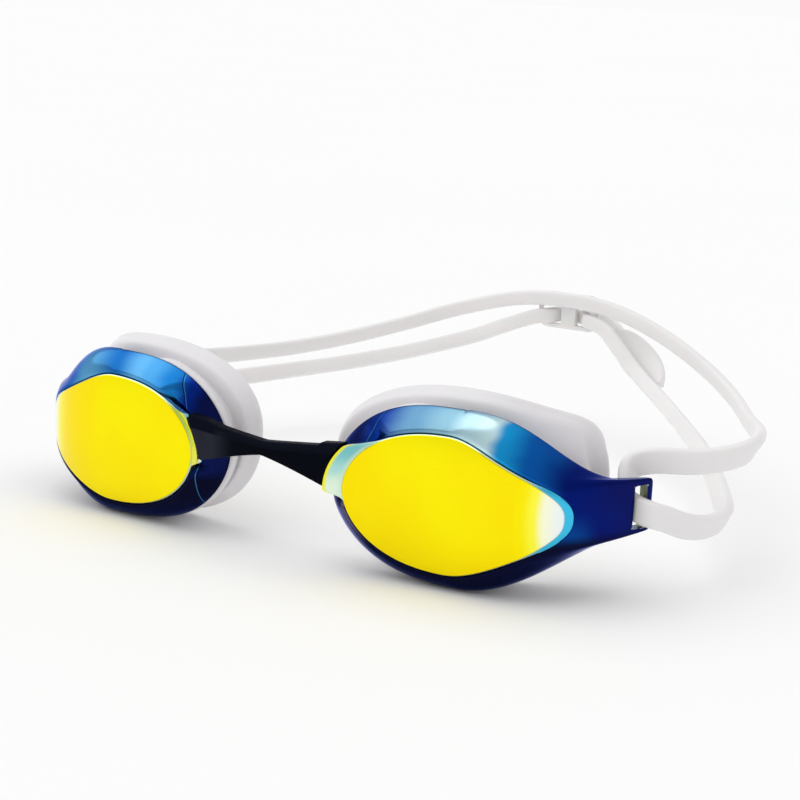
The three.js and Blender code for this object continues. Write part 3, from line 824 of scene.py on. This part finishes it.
# ---------------------------------------------------------------- gasket
def gasket(side):
    """A ring of smooth section: a step on the cup, a neck, and the flared lip."""
    angles = even_angles(288, lip_outline)

    def rim(grow, back):
        u, v = rim_outline(angles, grow)
        return pod_point(u, v, depth_at(u, RIM_DEPTH) + back)

    def lip(grow, back):
        u, v = lip_outline(angles, grow)
        return pod_point(u, v, depth_at(u, LIP_DEPTH) + back)

    # Round the section, from the step on the cup, out over the lip and back inside.
    cage = np.array([
        rim(-1.6, GAP), rim(-0.5, GAP), rim(-0.1, GAP + 0.35), rim(0.0, GAP + 1.0),
        rim(0.0, 2.3), rim(-0.25, 2.9), rim(-0.9, 3.3), rim(-0.9, 3.9),
        lip(-1.6, -3.4), lip(-0.5, -1.3), lip(0.0, -0.4), lip(-0.05, 0.4), lip(-0.6, 1.1),
        lip(-1.5, 1.35), lip(-3.0, 1.0), lip(-LIP_WIDTH, 0.35), lip(-LIP_WIDTH - 0.6, -0.6),
        lip(-LIP_WIDTH - 0.8, -3.4), rim(-3.3, 2.8), rim(-3.15, 1.2), rim(-2.9, GAP + 0.15)])
    sections = [spline(cage[:, i], 84, closed=True) for i in range(len(angles))]
    points, faces = loft(np.array(sections), loop=True)
    name = f"gasket_{side}"
    obj = make(f"{name}_seal", points, faces, side == "right")
    finish_piece(obj, GASKET, "white_silicone", "frame", name)


# ---------------------------------------------------------------- nose bridge
# Half width, slant and bulge of its ends, and its box.
BRIDGE_HALF, BRIDGE_LEAN, BRIDGE_BULGE = 15.0, 0.42, 0.8
BRIDGE_FRONT, BRIDGE_DEPTH, BRIDGE_TOP, BRIDGE_BOTTOM = -2.5, 3.6, 31.2, 22.7
# Its waist, the exponent of its flare, the drop from its top to its ridge, and its end pads.
WAIST_LOW, WAIST_HIGH, FLARE_POWER, RIDGE_DROP = 26.4, 29.2, 1.15, 1.2
PAD_HEIGHT, PAD_FROM, PAD_STEP = 0.6, 0.745, 0.001


def bridge():
    """Seen from the front a bow tie. Share runs from -1 to 1 along it."""
    def end_x(z):
        rise = (z - BRIDGE_BOTTOM) / (BRIDGE_TOP - BRIDGE_BOTTOM)
        return (BRIDGE_HALF + BRIDGE_LEAN * (z - BRIDGE_BOTTOM)
                - BRIDGE_BULGE * np.sin(math.pi * np.clip(rise, 0, 1)))

    def section(share, low, high, near, far, radius):
        ridge = high - RIDGE_DROP - abs(share)
        corners = [(far, low), (near + 0.5, low), (near, ridge), (near + 1.3, high), (far, high)]
        outline = rounded_polygon(corners, [radius, radius, radius * 0.8, radius, radius], 6)
        return np.stack([share * end_x(outline[:, 1]), outline[:, 0], outline[:, 1]], -1)

    def body(share):
        flare = abs(share) ** FLARE_POWER
        low = WAIST_LOW + (BRIDGE_BOTTOM - WAIST_LOW) * flare
        # The pad has a step on the wearer's left and a smooth start on the right.
        pad = PAD_HEIGHT * (share > PAD_FROM if share > 0 else smooth(0.55, 0.85, -share))
        high = WAIST_HIGH + (BRIDGE_TOP - WAIST_HIGH) * flare + pad
        far = BRIDGE_FRONT + BRIDGE_DEPTH + flare * 0.4
        return section(share, low, high, BRIDGE_FRONT, far, 0.4)

    def tongue(share):
        return section(share, BRIDGE_BOTTOM + 1.4, BRIDGE_TOP - 1.2, 0.75, 1.9, 0.2)

    steps = [side * PAD_FROM + shift for side in (-1, 1) for shift in (-PAD_STEP, PAD_STEP)]
    shares = np.sort(np.r_[np.linspace(-0.985, 0.985, 81), steps])
    rings = [tongue(-1.06), tongue(-0.995), *map(body, shares), tongue(0.995), tongue(1.06)]
    points, faces = loft(np.array(rings))
    x, z = points[:, 0], points[:, 2]
    reach = np.abs(x) / BRIDGE_HALF
    crest = WAIST_HIGH - RIDGE_DROP + (BRIDGE_TOP - WAIST_HIGH) * reach ** FLARE_POWER - reach
    # Masks of painted light: a highlight on the top facet, and a grey reflection on the end at the
    # wearer's right.
    values = {"top": smooth(0.0, 0.4, z - crest), "flare": smooth(-6.0, -13.0, x)}
    obj = make("nose_bridge_bow", points, faces, attributes=values, sharp=32)
    finish_piece(obj, BRIDGE, "black_bridge", "frame", "nose_bridge")


# ---------------------------------------------------------------- strap
# The band beside one pod, from the clip to the slot and back to the middle of the rear run:
# x, y, height on the wearer's left, height on the wearer's right, lean in degrees. The places
# of its ends and its middle have x, y, height and lean.
SIDE_ROUTE = [
    (5.4, 135.9, 37.5, 37.5, 0), (7.4, 134.9, 37.3, 37.2, 0), (11.5, 133.9, 36.1, 35.8, 10),
    (17, 131.6, 32.1, 33.4, 25), (23.7, 128.5, 27.4, 30.4, 33), (35.7, 118.4, 23.2, 26.3, 35),
    (46.9, 105.4, 20.9, 23.4, 33), (56.8, 90.9, 20.2, 21.7, 28), (65.2, 76.3, 19.9, 20.4, 22),
    (72.2, 63.1, 19.6, 18.5, 20), (77.6, 52.5, 19, 16.3, 22), (80.4, 45.8, 18.5, 15.1, 25),
    (80.6, 41.4, 18.1, 15, 25), (79.2, 36.6, 18.1, 15.9, 18), (77.4, 31.6, 19.3, 17.6, 8),
    (75.6, 28, 20.9, 19.9, 0), (73.5, 25.3, 22, 21.6, 0), (71.4, 24.9, 22.5, 22.5, 0),
    (69.4, 25.6, 22.9, 22.9, 0), (67.2, 26.6, 23.8, 23.4, 0), (65.7, 28.6, 26.2, 24.8, 0),
    (66, 31.3, 29.3, 25.6, 0), (69, 33.8, 30.4, 25.4, 0), (76.4, 39, 30.5, 24.2, 0),
    (80.6, 43.2, 31.1, 23.3, -4), (82.8, 46.8, 31.8, 23.2, -12), (83.2, 50.4, 32.2, 23.2, -22),
    (82.2, 55.3, 32.2, 23.5, -34), (79, 64.5, 30.6, 24, -28), (75.3, 77.1, 28.2, 24.4, -17),
    (70.2, 90.6, 26.4, 24.4, -8), (63.2, 104.1, 25.2, 25.2, 0), (54.5, 116.2, 27.5, 27.5, 0),
    (43.5, 125.6, 31.4, 31.4, 0), (28.5, 131.7, 37.1, 37.1, 0), (13.5, 134.4, 41.2, 41.2, 0)]
HIDDEN_END = [
    (-1.6, 139.7, 37.6, 0), (0.6, 139.7, 37.6, 0), (3, 139.1, 37.6, 0), (4.4, 137.5, 37.6, 0)]
TAB_END = [
    (-4.4, 137.6, 37.6, 0), (-3.2, 140.3, 37.6, 0), (-1.2, 142.2, 37.6, 0), (3.5, 142.6, 37.6, 0),
    (9.5, 140.9, 36.8, 8), (14.6, 137.6, 34.2, 20), (19.6, 134.7, 31.1, 30), (25.6, 131.3, 27.9, 33),
    (31, 127.2, 25.6, 34)]
REAR_MIDDLE = (0.0, 134.7, 42.3, 0.0)
# Width of the band at the slots and at the back, where the one turns into the other, thickness,
# edge radius and crown; and the finger tab at its end.
BAND_FRONT, BAND_REAR, TAPER_FROM, TAPER_TO = 5.2, 3.8, 30.0, 110.0
BAND_THICK, BAND_EDGE, BAND_CROWN, BAND_STEPS = 2.2, 0.85, 0.10, 1500
PADDLE_WIDTH, PADDLE_THICK, PADDLE_LENGTH = 9.4, 1.5, 23.0


def strap_route():
    """From the end hidden behind the clip, round the left pod and the right one, to the tab."""
    left = [(x, y, z, lean) for x, y, z, _, lean in SIDE_ROUTE]
    right = [(-x, y, z, lean) for x, y, _, z, lean in reversed(SIDE_ROUTE)]
    return np.array(HIDDEN_END + left + [REAR_MIDDLE] + right + TAB_END, float)


def strap():
    route = strap_route()
    centre = spline(route[:, :3], BAND_STEPS)
    tangent = np.gradient(centre, axis=0)
    tangent /= np.linalg.norm(tangent, axis=1, keepdims=True)
    out = np.cross([0.0, 0.0, 1.0], tangent)
    out /= np.linalg.norm(out, axis=1, keepdims=True)
    nearest = [np.linalg.norm(centre - place, axis=1).argmin() for place in route[:, :3]]
    lean = np.radians(np.interp(np.arange(BAND_STEPS), nearest, route[:, 3]))[:, None]
    out = out * np.cos(lean) - np.cross(tangent, out) * np.sin(lean)
    across = np.cross(tangent, out)
    # The finger tab is an oval over the last stretch of the band, with the band's end inside it.
    length = np.linalg.norm(np.diff(centre, axis=0), axis=1).sum()
    to_end = np.linspace(length, 0, BAND_STEPS)
    oval = np.sqrt(np.clip(1 - (2 * to_end / PADDLE_LENGTH - 1) ** 2, 0.004, 1))
    oval = np.where(to_end < PADDLE_LENGTH, oval, 0.0)
    width = BAND_FRONT + (BAND_REAR - BAND_FRONT) * smooth(TAPER_FROM, TAPER_TO, centre[:, 1])
    width = np.where(to_end < PADDLE_LENGTH / 2, 0.0, width)
    half = np.maximum(width, PADDLE_WIDTH * oval) / 2
    thick = (BAND_THICK + (PADDLE_THICK - BAND_THICK) * np.minimum(oval * 2, 1)) / 2
    rings = []
    for i in range(BAND_STEPS):
        w, t = half[i], thick[i]
        outline = rounded_polygon([(w, t), (-w, t), (-w, -t), (w, -t)],
                                  min(BAND_EDGE, t * 0.9, w * 0.9), 5)
        crown = BAND_CROWN * (1 - (outline[:, 0] / w) ** 2) * np.sign(outline[:, 1])
        rings.append(centre[i] + outline[:, :1] * across[i]
                     + (outline[:, 1] + crown)[:, None] * out[i])
    points, faces = loft(np.array(rings))
    finish_piece(make("strap_band", points, faces), STRAP, "strap_silicone", "strap", "strap")


# ---------------------------------------------------------------- rear clip
CLIP_Y, CLIP_THICK, CLIP_HALF, CLIP_BOTTOM, CLIP_TOP = 136.1, 1.8, 8.6, 34.4, 43.7
CLIP_CORNER, CLIP_EDGE = 3.2, 0.25
WINDOW_INNER, WINDOW_OUTER, WINDOW_BOTTOM, WINDOW_TOP, WINDOW_CORNER = 2.0, 7.9, 35.45, 40.0, 0.5


def plate(name, x0, x1, z0, z1, y0, y1, corner):
    """An upright plate with rounded corners."""
    outline = rounded_polygon([(x0, z0), (x1, z0), (x1, z1), (x0, z1)], corner, 8)
    rings = [np.stack([outline[:, 0], y + 0 * outline[:, 0], outline[:, 1]], -1) for y in (y0, y1)]
    points, faces = loft(np.array(rings))
    return make(name, points, faces)


def clip():
    """A plate with two windows, cut through past both of its faces."""
    obj = plate("rear_clip_plate", -CLIP_HALF, CLIP_HALF, CLIP_BOTTOM, CLIP_TOP,
                CLIP_Y, CLIP_Y + CLIP_THICK, CLIP_CORNER)
    for side in (-1, 1):
        x0, x1 = sorted((side * WINDOW_INNER, side * WINDOW_OUTER))
        window = plate("window", x0, x1, WINDOW_BOTTOM, WINDOW_TOP,
                       CLIP_Y - 3, CLIP_Y + 5, WINDOW_CORNER)
        boolean(obj, window, "DIFFERENCE")
    modifier = obj.modifiers.new("round", "BEVEL")
    modifier.width = CLIP_EDGE / MM
    modifier.segments = 3
    modifier.limit_method = "ANGLE"
    modifier.angle_limit = math.radians(50)
    apply(obj, 40)
    finish_piece(obj, CLIP, "clear_clip", "strap", "rear_clip")


for side in ("left", "right"):
    lens(side)
    cup(side)
    gasket(side)
bridge()
strap()
clip()


# ---------------------------------------------------------------- floor and light
FLOOR_HALF = 40.0  # metres


def floor():
    mesh = bpy.data.meshes.new("floor")
    corners = [(x * FLOOR_HALF, y * FLOOR_HALF, 0) for x, y in ((-1, -1), (1, -1), (1, 1), (-1, 1))]
    mesh.from_pydata(corners, [], [(0, 1, 2, 3)])
    obj = bpy.data.objects.new("floor", mesh)
    bpy.context.scene.collection.objects.link(obj)
    item, tree, shader = material("floor", Roughness=0.9, Specular_IOR_Level=0.0)
    colour = mix(tree, noise(tree, 3, 2), (0.955, 0.955, 0.96, 1), (0.97, 0.97, 0.97, 1))
    tree.links.new(colour, shader.inputs["Base Color"])
    mesh.materials.append(item)


def sun(name, towards, strength, spread):
    """A light from far away in the direction given, soft by its spread in degrees."""
    data = bpy.data.lights.new(name, "SUN")
    data.energy = strength
    data.angle = math.radians(spread)
    obj = bpy.data.objects.new(name, data)
    obj.rotation_euler = Vector(towards).to_track_quat("Z", "Y").to_euler()
    bpy.context.scene.collection.objects.link(obj)


def studio():
    """Soft light from all round, brightest near the horizon, and one broad key from above."""
    world = bpy.data.worlds.new("world")
    world.use_nodes = True
    tree = world.node_tree
    place = node(tree, "ShaderNodeTexCoord").outputs["Generated"]
    height = node(tree, "ShaderNodeSeparateXYZ", {0: place}).outputs["Z"]
    sky = ramp(tree, height, [(0.04, grey(0.97)), (0.35, grey(0.66)), (1.0, grey(0.80))])
    tree.links.new(sky, tree.nodes["Background"].inputs["Color"])
    tree.nodes["Background"].inputs["Strength"].default_value = 1.0
    bpy.context.scene.world = world
    sun("key", (-0.5, -0.15, 0.85), 1.0, 80)


floor()
studio()
